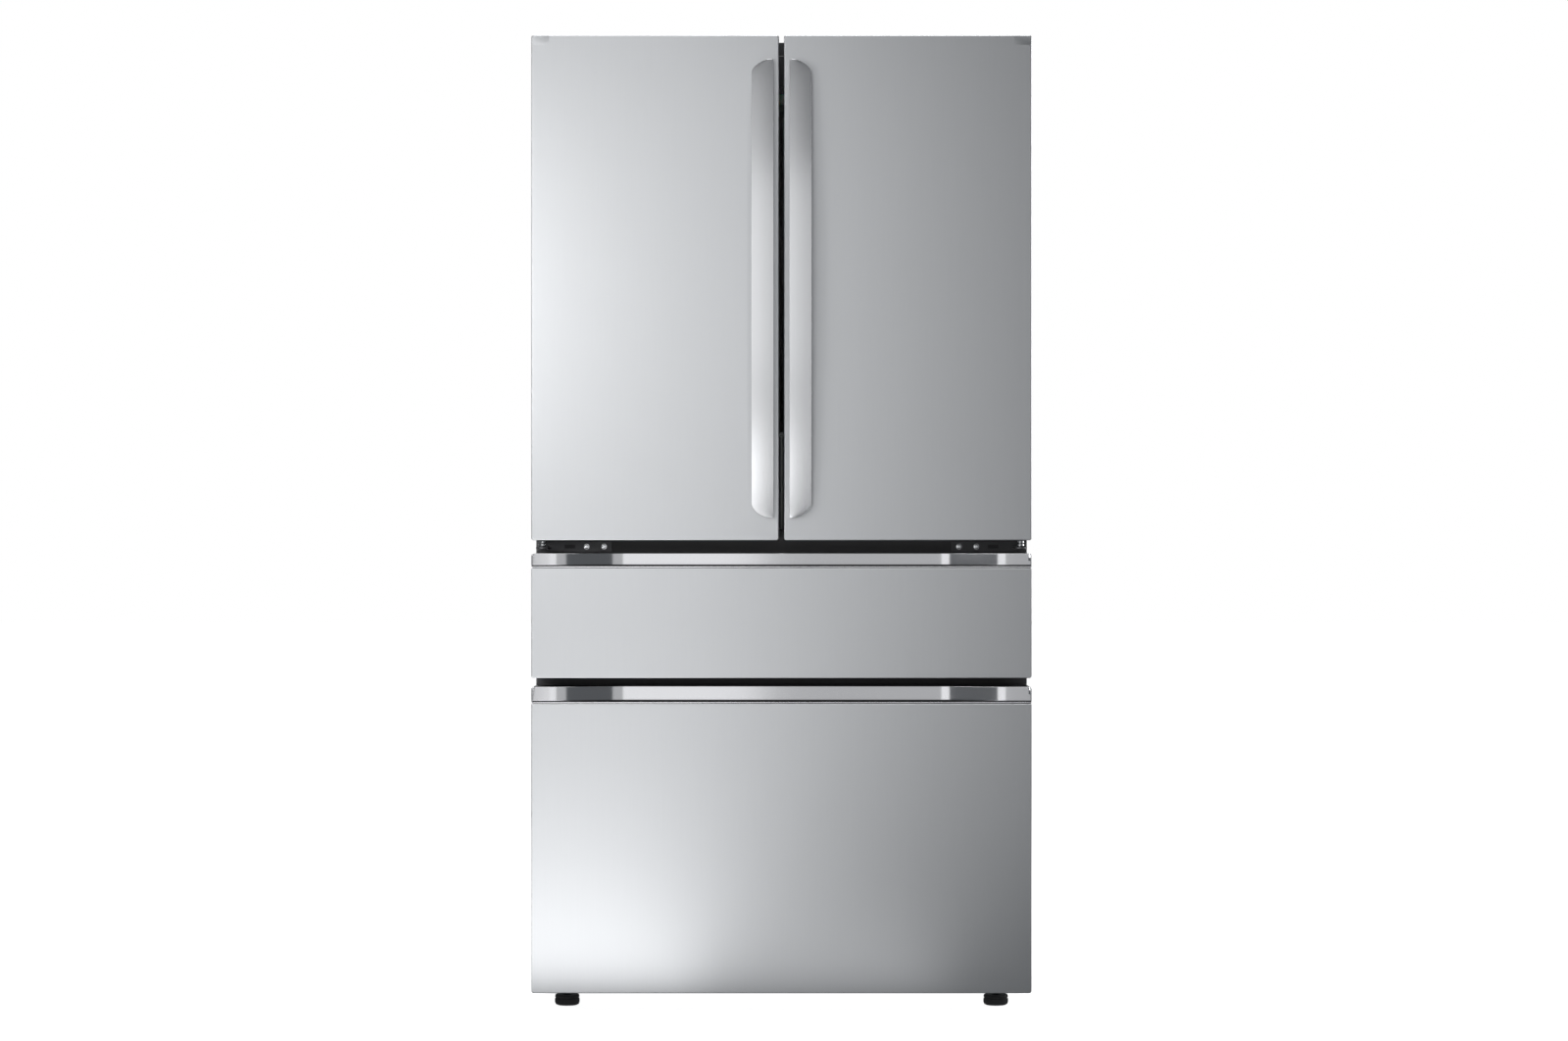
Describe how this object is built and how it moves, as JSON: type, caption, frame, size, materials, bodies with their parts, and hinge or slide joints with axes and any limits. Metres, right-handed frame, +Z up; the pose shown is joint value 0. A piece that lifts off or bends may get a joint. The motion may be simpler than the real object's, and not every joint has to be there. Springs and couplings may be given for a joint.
{
  "type": "french door refrigerator",
  "caption": "French door refrigerator in brushed stainless steel: paired upper doors with bowed bar handles, over pull-out drawers with full-width recessed pocket grips.",
  "frame": {"origin": "middle of the bounding box at floor level", "axes": "+Z up, -Y the way the doors face, +X to the right of someone facing the doors"},
  "size_m": [0.908, 0.92, 1.784],
  "materials": {
    "cabinet_steel": "satin grey paint",
    "stainless": "fine brushed stainless steel",
    "bright_metal": "satin",
    "bright_trim": "bright metallic finish",
    "galvanised_steel": "zinc plated",
    "dark_steel": "dark grey paint",
    "screw_steel": "bright",
    "dark_plastic": "dark grey",
    "foam": "rigid foam",
    "liner_plastic": "white",
    "clear_plastic": "clear",
    "shelf_glass": "clear",
    "light_cover": "frosted",
    "seal_rubber": "matte black",
    "black_metal": "gloss black paint",
    "coil_aluminium": "plain",
    "black_plastic": "black"
  },
  "bodies": {
    "cabinet": {"cabinet_shell": "cabinet_steel", "back_panel": "galvanised_steel", "insulation_foam": "foam", "fridge_liner": "liner_plastic", "middle_liner": "liner_plastic", "freezer_liner": "liner_plastic", "front_frame": "cabinet_steel", "top_cover": "dark_plastic", "upper_hinges": "galvanised_steel", "middle_hinges": "dark_steel", "hinge_screws": "screw_steel", "base_frame": "galvanised_steel", "machine_cover": "dark_plastic", "cord_gland": "seal_rubber", "compressor": "black_metal", "condenser": "coil_aluminium", "evaporators": "coil_aluminium", "duct_covers": "liner_plastic", "glass_shelves": "shelf_glass", "shelf_frames": "liner_plastic", "crisper_cover": "shelf_glass", "crisper_drawers": "clear_plastic", "light_panel": "light_cover", "fixed_rails": "galvanised_steel"},
    "left_foot": {"left_foot": "black_plastic"},
    "right_foot": {"right_foot": "black_plastic"},
    "rear_left_roller": {"rear_left_roller": "black_plastic"},
    "rear_right_roller": {"rear_right_roller": "black_plastic"},
    "condenser_fan": {"condenser_fan": "black_plastic"},
    "fridge_fan": {"fridge_fan": "black_plastic"},
    "freezer_fan": {"freezer_fan": "black_plastic"},
    "middle_rail_slides": {"middle_rail_slides": "galvanised_steel"},
    "freezer_rail_slides": {"freezer_rail_slides": "galvanised_steel"},
    "middle_drawer": {"middle_drawer_panel": "stainless", "middle_drawer_trim": "bright_trim", "middle_drawer_core": "dark_plastic", "middle_drawer_gasket": "seal_rubber", "middle_drawer_tub": "clear_plastic", "middle_drawer_rails": "galvanised_steel"},
    "freezer_drawer": {"freezer_drawer_panel": "stainless", "freezer_drawer_trim": "bright_trim", "freezer_drawer_core": "dark_plastic", "freezer_drawer_gasket": "seal_rubber", "freezer_drawer_tub": "clear_plastic", "freezer_drawer_rails": "galvanised_steel"},
    "freezer_tray": {"freezer_tray": "clear_plastic"},
    "left_door": {"left_door_panel": "stainless", "left_door_core": "dark_plastic", "left_door_liner": "liner_plastic", "left_door_gasket": "seal_rubber", "left_door_handle": "bright_metal", "left_door_bins": "clear_plastic", "mullion_brackets": "galvanised_steel"},
    "right_door": {"right_door_panel": "stainless", "right_door_core": "dark_plastic", "right_door_liner": "liner_plastic", "right_door_gasket": "seal_rubber", "right_door_handle": "bright_metal", "right_door_bins": "clear_plastic"},
    "mullion": {"mullion": "dark_plastic"}
  },
  "joints": [
    {"name": "left_door_hinge", "type": "hinge", "parent": "cabinet", "child": "left_door", "pos_m": [-0.436, -0.353, 0.859], "axis": [0, 0, -1], "range_deg": [0, 120]},
    {"name": "right_door_hinge", "type": "hinge", "parent": "cabinet", "child": "right_door", "pos_m": [0.436, -0.353, 0.859], "axis": [0, 0, 1], "range_deg": [0, 120]},
    {"name": "mullion_fold", "type": "hinge", "parent": "left_door", "child": "mullion", "pos_m": [-0.02225, -0.28725, 0.888], "axis": [0, 0, -1], "range_deg": [0, 90]},
    {"name": "middle_drawer_slide", "type": "slide", "parent": "cabinet", "child": "middle_drawer", "axis": [0, -1, 0], "range_m": [0, 0.42]},
    {"name": "middle_rails_slide", "type": "slide", "parent": "cabinet", "child": "middle_rail_slides", "axis": [0, -1, 0], "range_m": [0, 0.21]},
    {"name": "freezer_drawer_slide", "type": "slide", "parent": "cabinet", "child": "freezer_drawer", "axis": [0, -1, 0], "range_m": [0, 0.4]},
    {"name": "freezer_rails_slide", "type": "slide", "parent": "cabinet", "child": "freezer_rail_slides", "axis": [0, -1, 0], "range_m": [0, 0.2]},
    {"name": "freezer_tray_slide", "type": "slide", "parent": "freezer_drawer", "child": "freezer_tray", "axis": [0, 1, 0], "range_m": [0, 0.15]},
    {"name": "left_foot_screw", "type": "hinge", "parent": "cabinet", "child": "left_foot", "pos_m": [-0.396, -0.25, 0], "axis": [0, 0, 1], "continuous": true},
    {"name": "right_foot_screw", "type": "hinge", "parent": "cabinet", "child": "right_foot", "pos_m": [0.396, -0.25, 0], "axis": [0, 0, 1], "continuous": true},
    {"name": "rear_left_roller_spin", "type": "hinge", "parent": "cabinet", "child": "rear_left_roller", "pos_m": [-0.38, 0.402, 0.018], "axis": [1, 0, 0], "continuous": true},
    {"name": "rear_right_roller_spin", "type": "hinge", "parent": "cabinet", "child": "rear_right_roller", "pos_m": [0.38, 0.402, 0.018], "axis": [1, 0, 0], "continuous": true},
    {"name": "condenser_fan_spin", "type": "hinge", "parent": "cabinet", "child": "condenser_fan", "pos_m": [0, 0.321, 0.145], "axis": [1, 0, 0], "continuous": true},
    {"name": "fridge_fan_spin", "type": "hinge", "parent": "cabinet", "child": "fridge_fan", "pos_m": [0, 0.3405, 1.584], "axis": [0, 1, 0], "continuous": true},
    {"name": "freezer_fan_spin", "type": "hinge", "parent": "cabinet", "child": "freezer_fan", "pos_m": [0, 0.3405, 0.513], "axis": [0, 1, 0], "continuous": true}
  ],
  "couplings": [
    {"joint": "middle_rails_slide", "follows": "middle_drawer_slide", "ratio": 0.5},
    {"joint": "freezer_rails_slide", "follows": "freezer_drawer_slide", "ratio": 0.5}
  ]
}
